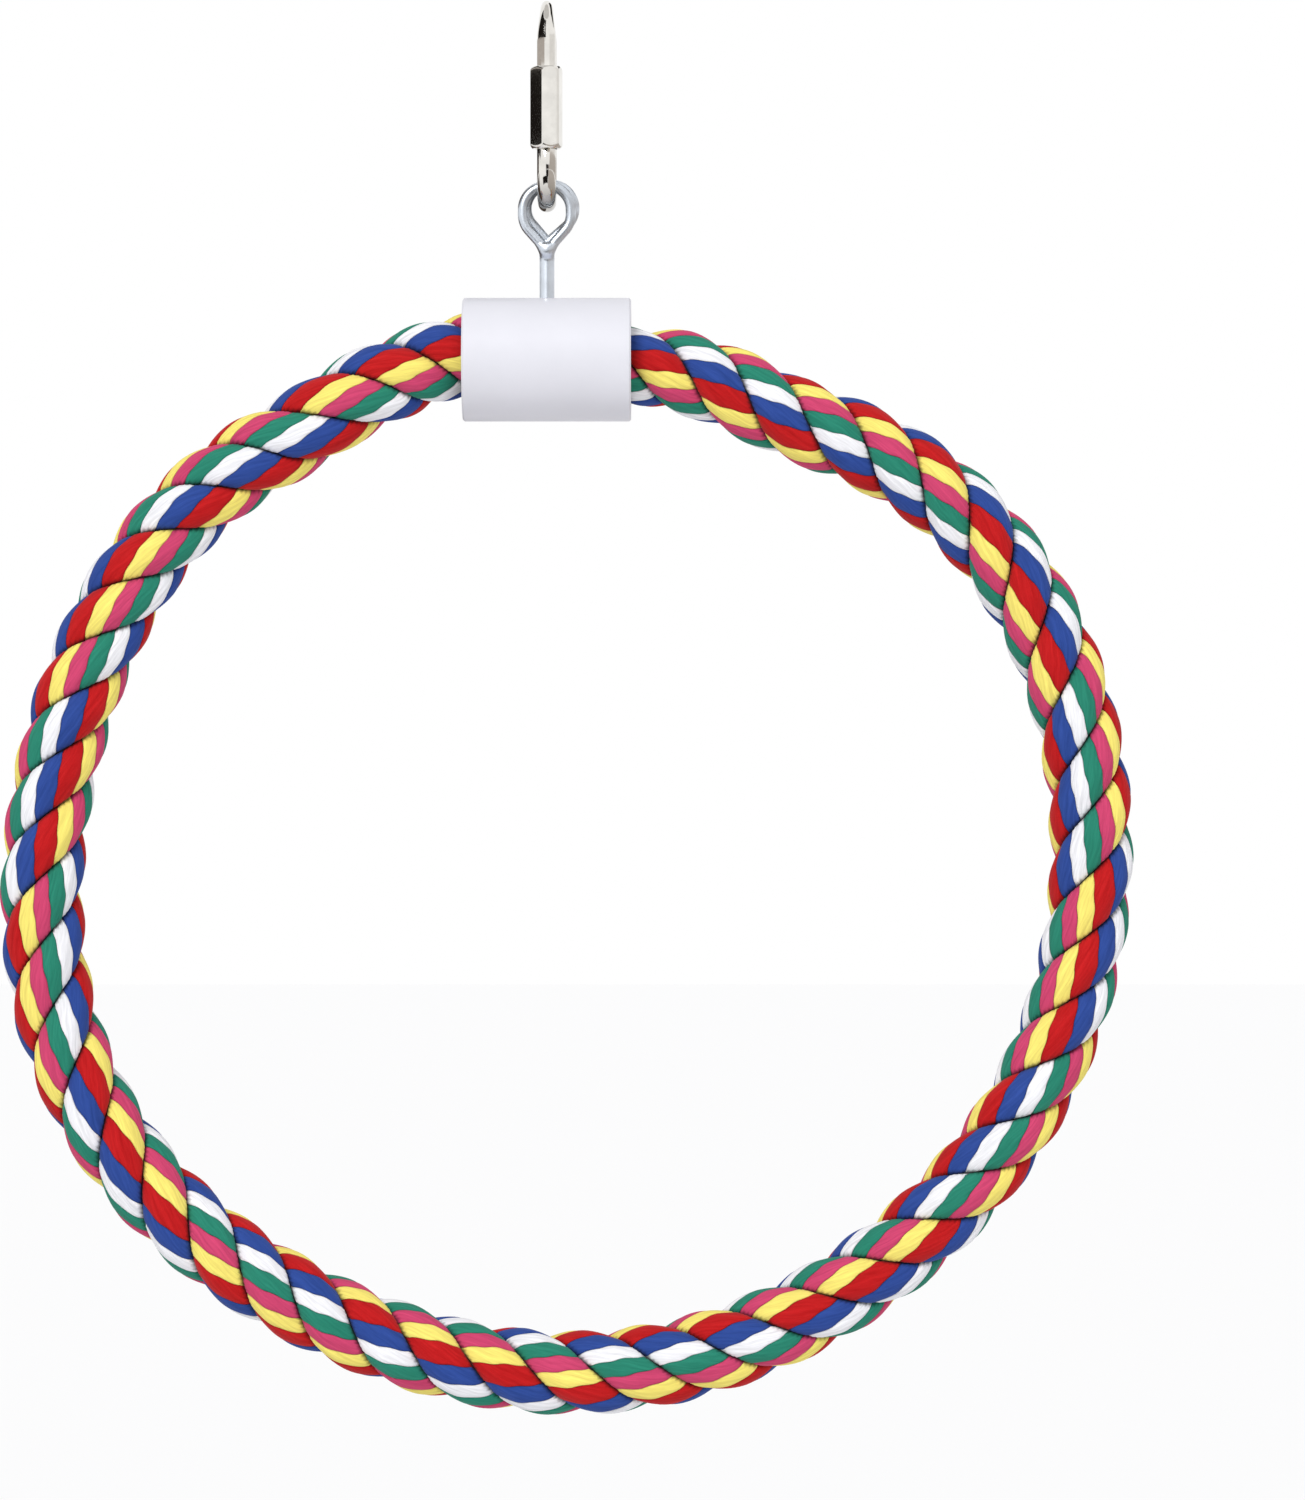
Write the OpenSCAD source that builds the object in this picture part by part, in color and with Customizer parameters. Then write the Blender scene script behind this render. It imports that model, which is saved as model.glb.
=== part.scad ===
// Ring swing for a pet bird: a thick rope ring closed in a plastic collar, hung from an
// eye bolt and a quick link. The origin is where the link rests on the bar that it hangs
// from, +Z is up, +X runs across the ring and +Y goes through it. Millimetres.

/* [Quick link] */
// Diameter of the link's round bar
link_bar_d = 5; // [4:0.5:6]
// Clear width inside the link
link_inner_w = 12.5; // [12:0.5:16]
// Clear length inside the link
link_inner_l = 47; // [46:1:60]
// Opening between the link's two threaded ends
link_gap = 5.4; // [4:0.2:6]
// Thread that the lower end holds in the closed nut
link_grip = 2; // [1:0.5:4]

/* [Link nut] */
// Distance across the long nut's flats
link_nut_af = 8; // [7.5:0.5:10]
// Length of the long nut
link_nut_l = 22; // [18:1:24]
// Distance from the link's inner top to the top of the closed nut
link_nut_drop = 13.8; // [12:0.2:16]
// Chamfer at the nut's ends
link_nut_chamfer = 0.7; // [0.3:0.1:1]
// Turn of the closed nut's flats from facing the front
link_nut_turn = 18; // [0:1:30]

/* [Eye bolt] */
// Diameter of the wire that the double eye is wound from
eye_wire_d = 2.8; // [2:0.2:3]
// Outer width of one turn of the eye
eye_w = 15.7; // [14:0.1:18]
// Sideways step from the front turn to the rear turn
eye_step_x = 0.9; // [0:0.1:1]
// Upward step from the front turn to the rear turn
eye_step_z = 0.6; // [0.5:0.1:1]
// Distance from the eye's centre down to where its legs meet
eye_neck_drop = 9.6; // [9:0.1:12]
// Diameter of the bolt's shank
shank_d = 4; // [3:0.5:5]
// Length of shank from where the legs meet down to the collar
shank_show = 14.1; // [10:0.5:20]

/* [Bolt fasteners] */
// Outer diameter of the washer
washer_d = 9; // [8.5:0.5:10]
// Thickness of the washer
washer_t = 0.8; // [0.5:0.1:1]
// Distance across the lock nut's flats
lock_nut_af = 7; // [7:0.5:8]
// Height of the lock nut
lock_nut_h = 5; // [4:0.5:5]
// Height of the lock nut's nylon ring
insert_h = 1.4; // [1:0.1:2]
// Thread that stands out below the lock nut
bolt_stick_out = 1; // [0.5:0.1:1.2]

/* [Collar] */
// Length of the collar
collar_l = 45.4; // [40:0.5:60]
// Wall thickness of the collar
collar_wall = 3.4; // [2:0.1:5]
// Chamfer on the collar's outer rims
collar_chamfer = 0.5; // [0.2:0.1:1]

/* [Rope] */
// Distance of each strand's centre from the rope's centre
lay_r = 6.5; // [6:0.1:7]
// Angle round the ring from one strand's crest to the next
crest_step = 7.03; // [6.5:0.01:8]
// Angle round the ring to the first strand's first crest
first_crest = 12.6; // [0:0.1:20]
// Uneven spacing of the crests, as an angle
crest_drift = 1.3; // [0:0.1:2]
// Least gap between neighbouring strands
strand_gap = 0.05; // [0.05:0.01:0.1]
// Distance from the bolt's axis to each rope end inside the collar
rope_end_x = 6.5; // [6:0.1:8]

/* [Ring] */
// Mean radius of the rope's centre line
ring_r = 140.9; // [120:0.5:180]
// Distance of the ring's centre to the side of the bolt's axis
ring_side = 5.8; // [0:0.2:8]
// Distance from the collar's axis down to the ring's centre, as a share of its radius
ring_drop_share = 0.976; // [0.97:0.001:0.98]
// Length over which the rope bends from the collar's axis into the ring's curve
rope_ease_l = 54; // [52:1:70]
// Bend that the strands are packed for, a little tighter than where the rope leaves the collar
rope_bend_r = 38; // [36:1:60]

/* [Core and end wraps] */
// Length of the ferrule that joins the ends of the core wire
ferrule_l = 9; // [6:0.5:10]
// Wall thickness of the ferrule
ferrule_wall = 1.4; // [1:0.1:1.6]
// Thickness of the tape wound round each rope end
tape_t = 1.6; // [1:0.1:2]
// Length of the tape wound round each rope end
tape_l = 12; // [8:0.5:13]

/* [Hidden] */

$fn = 64;

// Clearances
run_gap = 0.05;
seat_gap = 0.3;
thread_gap = 0.02;
core_gap = 0.1;
tape_gap = 0.1;
washer_gap = 0.15;
wire_joint_gap = 0.6;

// Eye: slit between its two turns, and how much its ball-shaped neck, and the knees where
// its legs start, stand proud of the wire
turn_gap = 0.1;
neck_swell = 0.15;
knee_swell = 0.05;

// Lock nut: chamfer at its ends, and the steel left round its nylon ring
lock_nut_chamfer = 0.3;
lock_nut_lip = 0.6;

// Departure of the centre line from a circle, as shares of its radius: the steady part,
// then the cosine and sine parts of one, two and more waves round the ring
bow_mean_share = -0.018;
bow_cos_shares = [-0.006, -0.034, -0.014, -0.012, -0.009];
bow_sin_shares = [-0.004, 0.009, -0.001, -0.007];

// Departure of the lay from an even one, as shares of crest_drift: the cosine and sine parts
// of one, two and more waves round the ring
drift_cos_shares = [0.2, -0.1];
drift_sin_shares = [0.95, -0.1, -0.2];

// Rings for each turn of the lay, sides of a strand and of the wire, and the angles round
// the ring from one ring of the wire to the next and across which a direction is taken
strand_rings = 14;
strand_sides = 8;
wire_sides = 8;
wire_step = 4;
tangent_step = 0.05;

// Quick link
bar_r = link_bar_d / 2;
bend_r = link_inner_w / 2 + bar_r;
bend_top_z = -link_inner_w / 2;
bend_low_z = -link_inner_l + link_inner_w / 2;
nut_top_z = -link_nut_drop;
nut_low_z = nut_top_z - link_nut_l;
gap_low_z = nut_low_z + link_grip;
gap_top_z = gap_low_z + link_gap;

// Eye bolt: it hangs in the link's lower bend, whose centre is the axis that it swings on
wire_r = eye_wire_d / 2;
eye_r = eye_w / 2 - wire_r;
turn_y = wire_r + turn_gap / 2;
seat_reach = link_inner_w / 2 - wire_r - seat_gap;
eye_top_z = bend_low_z - sqrt(seat_reach * seat_reach - turn_y * turn_y);
eye_z = eye_top_z - eye_r;
neck_z = eye_z - eye_neck_drop;
shank_r = shank_d / 2;
neck_r = turn_y + wire_r + neck_swell;

// Rope, from the packing of three strands in its tightest bend
turn_angle = 3 * crest_step;
lay_pitch = ring_r * turn_angle * PI / 180;
bend_pitch = lay_pitch * (1 - lay_r / rope_bend_r);
strand_r = (strand_spacing(bend_pitch) - strand_gap) / 2;
rope_r = lay_r + strand_r;
wire_core_r = lay_r * cos(180 / strand_rings) - strand_r - core_gap;

// Collar
tape_in_r = rope_r + tape_gap;
tape_out_r = tape_in_r + tape_t;
bore_r = tape_out_r + seat_gap;
collar_r = bore_r + collar_wall;
collar_z = neck_z - shank_show - collar_r;
ring_z = collar_z - ring_r * ring_drop_share;
level_half = rope_end_x + tape_l;

// Fasteners inside the collar
washer_top_z = collar_z + sqrt(bore_r * bore_r - washer_d * washer_d / 4) - seat_gap;
lock_nut_top_z = washer_top_z - washer_t;
lock_nut_low_z = lock_nut_top_z - lock_nut_h;
bolt_end_z = lock_nut_low_z - bolt_stick_out;
insert_r = lock_nut_af / 2 - lock_nut_lip;

// Core wire and ferrule
ferrule_in_r = wire_core_r + run_gap;
ferrule_r = ferrule_in_r + ferrule_wall;

// Distance between neighbouring strand centres at the given pitch
function strand_spacing(pitch) = min([
    for (t = [50:1:120])
        sqrt(2 * lay_r * lay_r * (1 - cos(t)) + pow(pitch * (t - 120) / 360, 2))
]);

// Ease from 0 to 1 as t goes from 0 to 1
function ease(t) = let (u = max(0, min(1, t))) u * u * (3 - 2 * u);

// Sum of waves round the ring at angle a, from the shares of their cosine and sine parts
function waves(cos_shares, sin_shares, a) =
    cos_shares * [for (k = [1:len(cos_shares)]) cos(k * a)]
    + sin_shares * [for (k = [1:len(sin_shares)]) sin(k * a)];

// Radius of the centre line at angle a, clockwise from the top
function bow_r(a) = ring_r * (1 + bow_mean_share + waves(bow_cos_shares, bow_sin_shares, a));

// Point of the centre line at angle a, as x and z: level as far as the end wraps reach
function centre_point(a) =
    let (
        r = bow_r(a),
        x = ring_side + r * sin(a),
        z = ring_z + r * cos(a),
        share = cos(a) > 0 ? ease((abs(x) - level_half) / rope_ease_l) : 1
    )
    [x, collar_z + share * (z - collar_z)];

// Unit tangent of the centre line at angle a, clockwise
function centre_tangent(a) =
    let (d = centre_point(a + tangent_step) - centre_point(a - tangent_step))
    d / norm(d);

// Angle round the ring at which the centre line passes x, near the top
function top_angle(x) = asin((x - ring_side) / bow_r(0));

// Shift of the lay at angle a from an even one, as an angle round the ring
function lay_drift(a) = crest_drift * waves(drift_cos_shares, drift_sin_shares, a);

// Turn of strand j round the rope at angle a, from outward towards the front
function lay_angle(j, a) =
    120 * ((a - first_crest + lay_drift(a) - lay_drift(first_crest)) / crest_step - j);

// Point at distance r from the rope's centre, turned by p from outward towards the front
function rope_point(a, r, p) =
    let (c = centre_point(a), t = centre_tangent(a), out = r * cos(p))
    [c.x - out * t.y, -r * sin(p), c.y + out * t.x];

function strand_point(j, a) = rope_point(a, lay_r, lay_angle(j, a));

// One ring of points round strand j, square to the strand
function strand_ring(j, a) =
    let (
        c = strand_point(j, a),
        along = strand_point(j, a + tangent_step) - strand_point(j, a - tangent_step),
        outward = rope_point(a, lay_r + strand_r, lay_angle(j, a)) - c,
        side = cross(along, outward),
        u = outward / norm(outward),
        v = side / norm(side)
    )
    [for (i = [0:strand_sides - 1])
        let (b = 360 * i / strand_sides) c + strand_r * (cos(b) * u + sin(b) * v)];

// One ring of points round the core wire
function wire_ring(a) = [
    for (i = [0:wire_sides - 1]) rope_point(a, wire_core_r, 360 * i / wire_sides)
];

// Closed tube through rings of points
module skin(rings) {
    n = len(rings[0]);
    last = (len(rings) - 1) * n;
    walls = [
        for (i = [0:len(rings) - 2]) for (j = [0:n - 1])
            let (a = i * n + j, b = i * n + (j + 1) % n)
            each [[a, a + n, b], [b, a + n, b + n]]
    ];
    caps = [
        for (j = [1:n - 2]) each [[0, j, j + 1], [last, last + j + 1, last + j]]
    ];
    polyhedron(points = [for (ring = rings) each ring], faces = concat(walls, caps));
}

// Part of a round bar bent to radius r about the Y axis, from angle a, clockwise from the
// top, through the angle sweep
module bent_bar(r, bar, a, sweep) {
    rotate([90, 0, 0])
        rotate([0, 0, 90 - a - sweep])
            rotate_extrude(angle = sweep)
                translate([r, 0]) circle(r = bar);
}

// Straight round bar between two points
module straight_bar(from, to, bar) {
    d = to - from;
    translate(from)
        rotate([0, acos(d.z / norm(d)), atan2(d.y, d.x)])
            cylinder(r = bar, h = norm(d));
}

// Upright bar of the link at depth y
module link_leg(y, low, top) {
    translate([0, y, low]) cylinder(r = bar_r, h = top - low);
}

module quick_link() {
    color("silver") {
        translate([0, 0, bend_top_z]) rotate([0, 0, 90]) bent_bar(bend_r, bar_r, -90, 180);
        translate([0, 0, bend_low_z]) rotate([0, 0, 90]) bent_bar(bend_r, bar_r, 90, 180);
        link_leg(bend_r, bend_low_z, bend_top_z);
        link_leg(-bend_r, bend_low_z, gap_low_z);
        link_leg(-bend_r, gap_top_z, bend_top_z);
    }
}

// Hexagonal prism with a bore and chamfered corners, from z = 0 up
module hex_nut(af, h, hole_r, chamfer) {
    corner_r = af / 2 / cos(30);
    difference() {
        intersection() {
            cylinder(r = corner_r, h = h, $fn = 6);
            rotate_extrude() polygon([
                [0, 0], [corner_r - chamfer, 0], [corner_r, chamfer],
                [corner_r, h - chamfer], [corner_r - chamfer, h], [0, h]
            ]);
        }
        translate([0, 0, -h]) cylinder(r = hole_r, h = 3 * h);
    }
}

module link_nut() {
    color("gainsboro")
        translate([0, -bend_r, nut_low_z])
            rotate([0, 0, link_nut_turn])
                hex_nut(link_nut_af, link_nut_l, bar_r + run_gap, link_nut_chamfer);
}

// One turn of the eye about a centre at x, z, on the front (-1) or rear (1) side, with
// legs that meet at the neck
module eye_turn(x, z, side) {
    reach = norm([x, z - neck_z]);
    lean = atan2(x, z - neck_z);
    half = acos(eye_r / reach);
    translate([x, side * turn_y, z]) {
        bent_bar(eye_r, wire_r, 180 + lean + half, 360 - 2 * half);
        for (s = [-1, 1]) {
            a = 180 + lean + s * half;
            knee = [eye_r * sin(a), 0, eye_r * cos(a)];
            translate(knee) sphere(r = wire_r + knee_swell);
            straight_bar(knee, [-x, 0, neck_z - z], wire_r);
        }
    }
}

module eye_bolt() {
    color("lightsteelblue") {
        eye_turn(0, eye_z, -1);
        eye_turn(eye_step_x, eye_z + eye_step_z, 1);
        translate([0, 0, neck_z]) sphere(r = neck_r);
        translate([0, 0, bolt_end_z]) cylinder(r = shank_r, h = neck_z - bolt_end_z);
    }
}

// Flat ring from z = low up
module flat_ring(low, h, r, hole_r) {
    translate([0, 0, low])
        difference() {
            cylinder(r = r, h = h);
            translate([0, 0, -h]) cylinder(r = hole_r, h = 3 * h);
        }
}

module washer() {
    color("silver") flat_ring(lock_nut_top_z, washer_t, washer_d / 2, shank_r + washer_gap);
}

module lock_nut() {
    color("gray")
        difference() {
            translate([0, 0, lock_nut_low_z])
                hex_nut(lock_nut_af, lock_nut_h, shank_r + thread_gap, lock_nut_chamfer);
            translate([0, 0, lock_nut_low_z]) cylinder(r = insert_r, h = insert_h);
        }
}

module lock_nut_insert() {
    color("royalblue")
        flat_ring(lock_nut_low_z, insert_h, insert_r - thread_gap, shank_r + thread_gap);
}

module collar() {
    half = collar_l / 2;
    color("whitesmoke")
        difference() {
            translate([0, 0, collar_z])
                rotate([0, 90, 0])
                    rotate_extrude() polygon([
                        [bore_r, -half], [collar_r - collar_chamfer, -half],
                        [collar_r, -half + collar_chamfer], [collar_r, half - collar_chamfer],
                        [collar_r - collar_chamfer, half], [bore_r, half]
                    ]);
            translate([0, 0, collar_z])
                cylinder(r = shank_r + run_gap, h = collar_r + collar_wall);
        }
}

// Round tube along X inside the collar, from x = from to x = to
module collar_tube(from, to, r, hole_r) {
    translate([from, 0, collar_z])
        rotate([0, 90, 0])
            difference() {
                cylinder(r = r, h = to - from);
                translate([0, 0, from - to]) cylinder(r = hole_r, h = 3 * (to - from));
            }
}

module core_wire() {
    from = top_angle(wire_joint_gap / 2);
    to = 360 + top_angle(-wire_joint_gap / 2);
    steps = ceil((to - from) / wire_step);
    color("dimgray")
        skin([for (i = [0:steps]) wire_ring(from + (to - from) * i / steps)]);
}

module core_ferrule() {
    color("darkgray") collar_tube(-ferrule_l / 2, ferrule_l / 2, ferrule_r, ferrule_in_r);
}

module rope_strand(j) {
    from = top_angle(rope_end_x);
    to = 360 + top_angle(-rope_end_x);
    steps = ceil((to - from) * strand_rings / turn_angle);
    skin([for (i = [0:steps]) strand_ring(j, from + (to - from) * i / steps)]);
}

module rope_strand_1() {
    color("crimson") rope_strand(0);
}

module rope_strand_2() {
    color("gold") rope_strand(1);
}

module rope_strand_3() {
    color("royalblue") rope_strand(2);
}

module end_wrap_left() {
    color("ivory") collar_tube(-rope_end_x - tape_l, -rope_end_x, tape_out_r, tape_in_r);
}

module end_wrap_right() {
    color("ivory") collar_tube(rope_end_x, rope_end_x + tape_l, tape_out_r, tape_in_r);
}

quick_link();
link_nut();
eye_bolt();
washer();
lock_nut();
lock_nut_insert();
collar();
core_wire();
core_ferrule();
rope_strand_1();
rope_strand_2();
rope_strand_3();
end_wrap_left();
end_wrap_right();
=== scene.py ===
"""Looks of a hanging ring swing for a pet bird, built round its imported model.

Sizes are in millimetres, as in the part's source, until a mesh is made: MM turns them into
metres. Angles round the ring are in degrees, clockwise from the top, seen from the front.
"""

import math

import bpy
import numpy as np
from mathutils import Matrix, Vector


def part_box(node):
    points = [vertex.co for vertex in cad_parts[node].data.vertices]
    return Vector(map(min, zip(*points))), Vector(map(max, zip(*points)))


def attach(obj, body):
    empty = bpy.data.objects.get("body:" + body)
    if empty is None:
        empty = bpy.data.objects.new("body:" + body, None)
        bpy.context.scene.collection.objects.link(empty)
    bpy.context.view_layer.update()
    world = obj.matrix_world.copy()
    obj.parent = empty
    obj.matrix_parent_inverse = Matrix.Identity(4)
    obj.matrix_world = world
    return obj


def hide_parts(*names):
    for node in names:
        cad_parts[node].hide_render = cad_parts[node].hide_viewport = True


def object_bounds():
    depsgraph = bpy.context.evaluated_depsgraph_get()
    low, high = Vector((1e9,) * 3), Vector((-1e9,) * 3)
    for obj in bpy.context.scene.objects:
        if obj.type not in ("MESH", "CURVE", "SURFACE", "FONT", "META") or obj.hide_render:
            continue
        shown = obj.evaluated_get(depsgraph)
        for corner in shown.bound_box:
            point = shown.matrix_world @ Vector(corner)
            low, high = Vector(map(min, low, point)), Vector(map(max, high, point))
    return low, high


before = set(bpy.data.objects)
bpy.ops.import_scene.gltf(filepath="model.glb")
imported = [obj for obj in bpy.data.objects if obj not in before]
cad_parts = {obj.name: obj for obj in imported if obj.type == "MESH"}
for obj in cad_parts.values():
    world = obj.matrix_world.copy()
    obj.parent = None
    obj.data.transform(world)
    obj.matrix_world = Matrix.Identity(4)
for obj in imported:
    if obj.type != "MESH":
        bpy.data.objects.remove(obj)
cad_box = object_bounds()

MM = 0.001

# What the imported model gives: the places of the collar, the bolt, the link and its nut
collar_low, collar_high = (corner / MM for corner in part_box("collar"))
bolt_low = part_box("eye_bolt")[0] / MM
link_low, link_high = (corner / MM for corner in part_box("quick_link"))
nut_low, nut_high = (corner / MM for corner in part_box("link_nut"))
collar_l = collar_high.x - collar_low.x
collar_z = (collar_high.z + collar_low.z) / 2

# The rope's centre line, as in the part's source
RING_R = 140.9
RING_SIDE = 5.8
RING_DROP_SHARE = 0.976
BOW_MEAN_SHARE = -0.018
BOW_COS_SHARES = (-0.006, -0.034, -0.014, -0.012, -0.009)
BOW_SIN_SHARES = (-0.004, 0.009, -0.001, -0.007)
TANGENT_STEP = 0.05
ROPE_END_X = 6.5
TAPE_L = 12
LEVEL_HALF = ROPE_END_X + TAPE_L
ROPE_EASE_L = 54
ring_z = collar_z - RING_R * RING_DROP_SHARE

# The lay of its three strands, as in the part's source
STRANDS = 3
CREST_STEP = 7.03
FIRST_CREST = 12.6
CREST_DRIFT = 1.3
DRIFT_COS_SHARES = (0.2, -0.1)
DRIFT_SIN_SHARES = (0.95, -0.1, -0.2)
SECTOR = 360 / STRANDS

# Towards the collar's right mouth the rope is squeezed thin and lies low in the bore, and
# at the left one it lies high and its lay runs ahead by an angle
MOUTH_THIN_SHARE = 0.075
MOUTH_THIN_END_X = 36
MOUTH_DROP = 1.2
MOUTH_LIFT = 1.5
MOUTH_START_X = 13
MOUTH_DROP_END_X = 48
MOUTH_LIFT_END_X = 38
MOUTH_LAY = 1.4
MOUTH_LAY_FROM = 335
MOUTH_LAY_TO = 349

# Section of a strand, square to the rope: a round lobe, cut by the two planes that part it
# from its neighbours and by one that clears the core wire. The power rounds its corners.
LOBE_R = 7.85
LOBE_X = 3.6
STRAND_GAP = 0.06
CORE_CLEAR = 1.75
CORNER_POWER = 14

# Painted shade: the colour darkens from where the surface reaches these shares of the round
# lobe, down into the creases between strands, and in a thin line along each yarn's edges
CREASE_FROM_SHARE = 0.985
CREASE_TO_SHARE = 0.945
EDGE_SHADE_SHARE = 0.4
EDGE_POWER = 14

# The yarns of a strand, in the order in which they lie round it, with their shares of an
# even width, and their twist. Each strand starts with its own phase, in degrees, which
# wanders with one and two waves round the ring. FIBRE_SHIFT sets the yarns' fibres apart.
YARNS = ("white", "blue", "red", "yellow", "pink", "green")
YARN_WIDTH_SHARES = (0.90, 1.09, 1.23, 0.94, 0.90, 0.94)
YARN_HUB_X = 6.2
YARN_STARTS = (111, 88, 98)
YARN_START_COS = ((34, 13), (43, 21), (27, 14))
YARN_START_SIN = ((-15, -11), (-21, -12), (29, -6))
YARN_TURNS = 2.5
YARN_LEAN_SHARES = (0.45, -0.26)
LEAN_STEPS = 1440
YARN_W = 3.1
YARN_GROOVE = 0.32
YARN_GROOVE_POWER = 4
YARN_GAP_SHARE = 0.012
YARN_COLUMNS = 12
FIBRE_SLANT = 14
FIBRE_SHIFT = 7.0
RING_PITCH = 1.0

# Quick link: round bar in the plane of Y and Z, narrower where it is bent at the top, open
# between two threaded ends. LINK_GRIP and LINK_GAP are as in the part's source.
LINK_GRIP = 2
LINK_GAP = 5.4
LINK_SIDES = 56
BEND_STEPS = 70
TOP_NARROW_SHARE = 0.30
THREAD_PITCH = 0.8
THREAD_DEPTH = 0.28
THREAD_ROW = 0.08
THREAD_TOP_DROP = 0.6
THREAD_LOW_L = 2
LINK_END_CHAMFER = 0.5

# Painted shade round the lower bend, where the eye hangs in it
BEND_SHADE_SHARE = 0.42
BEND_SHADE_DROP = 3
BEND_SHADE_L = 5

# Long nut: across flats and its turn as in the part's source, with slightly crowned flats
NUT_AF = 8
NUT_TURN = 18
NUT_CHAMFER = 0.9
NUT_CROWN_R = 55
NUT_EDGE_POWER = 46
NUT_SIDES = 360
NUT_ROW = 0.07
NUT_RIM_L = 1.3
NUT_BORE_GAP = 0.05

# Eye bolt: wire and eye as in the part's source, the front turn a little longer than wide.
# SOFT is how far its pieces melt together, above the neck and at it. Where they touch
# above the neck, the creases between them get painted shade.
EYE_WIRE_R = 1.4
EYE_R = 6.45
EYE_TURN_Y = 1.45
EYE_SEAT_GAP = 0.3
EYE_STEP = (0.9, 0.6)
EYE_NECK_DROP = 9.6
EYE_STRETCH = 1.3
FRONT_FOOT_DROP = 1.4
REAR_FOOT = (0.2, 1.0)
TAIL_DROP = 3.2
SHANK_R = 2.0
SOFT_TOP = 0.04
SOFT_NECK = 0.9
SOFT_OVER_L = 1.6
LEG_SOFT_SHARE = 3
CREASE_SHADE_W = 0.9
CREASE_SHADE_FADE_L = 1.6
EYE_VOXEL = 0.2
EYE_ROUGH_SHARE = 0.8
EYE_ROUGH_SIDES = 20
EYE_STEPS = 60
LEG_STEPS = 20
EYE_ROUNDS = 4

# How its skin's points are moved onto its surface: in how many steps, over which reach the
# slope is taken, the least slope that counts and the longest move of a step
SETTLE_STEPS = 3
SLOPE_REACH = 0.01
LEAST_SLOPE = 0.2
LONGEST_MOVE = 0.5

# Colours as they show, in sRGB
YARN_COLOURS = {
    "red": (192, 8, 13),
    "yellow": (255, 234, 118),
    "blue": (40, 72, 150),
    "pink": (208, 66, 110),
    "green": (34, 132, 108),
    "white": (246, 246, 249),
}

# Finishes: how far a colour is darkened in each, and the range of its roughness. A pattern's
# scale is per millimetre along and across a yarn for cotton, and per metre for the others.
# NOISE_LOW to NOISE_HIGH is where most values of a noise lie.
NOISE_LOW = 0.3
NOISE_HIGH = 0.7
COTTON_DEEP_SHARE = 0.68
# Painted shade down in the rope's creases and along its yarns' edges
COTTON_CREASE_SHADE_SHARE = 0.22
COTTON_PALE_SHARE = 1.05
COTTON_PALE_LIFT = 0.008
COTTON_FIBRE_SCALE = (0.08, 2.0, 1)
COTTON_FINE_SCALE = (0.35, 11, 1)
COTTON_FINE_MIX = 0.3
COTTON_WEAR_MIX = 0.16
COTTON_ROUGHNESS = (0.72, 0.9)
PLATE_DULL_SHARE = 0.86
# Painted shade in the metal's creases and round the link's lower bend
PLATE_CREASE_SHADE_SHARE = 0.06
PLASTIC_CLOUD_SHARE = 0.965
PLASTIC_GRAIN = 0.012
SATIN_SHARES = (0.85, 1.2)
WIRE_DULL_SHARE = 0.7
WIRE_LINE_SCALE = (120, 4200, 4200)
WIRE_SHARES = (0.8, 1.3)
TAPE_WEAVE_SCALE = 900.0
TAPE_WEAVE_BEND = 1.5
TAPE_DEEP_SHARE = 0.7


def linear(rgb):
    """An sRGB colour of three numbers up to 255, as linear values with alpha."""
    shares = [c / 255 for c in rgb]
    return [s / 12.92 if s < 0.04045 else ((s + 0.055) / 1.055) ** 2.4 for s in shares] + [1]


def shaded(colour, share):
    """A linear colour with its light scaled by a share."""
    return [c * share for c in colour[:3]] + [1]


def add_object(name, data):
    """A new object in the scene."""
    made = bpy.data.objects.new(name, data)
    bpy.context.scene.collection.objects.link(made)
    return made


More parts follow.
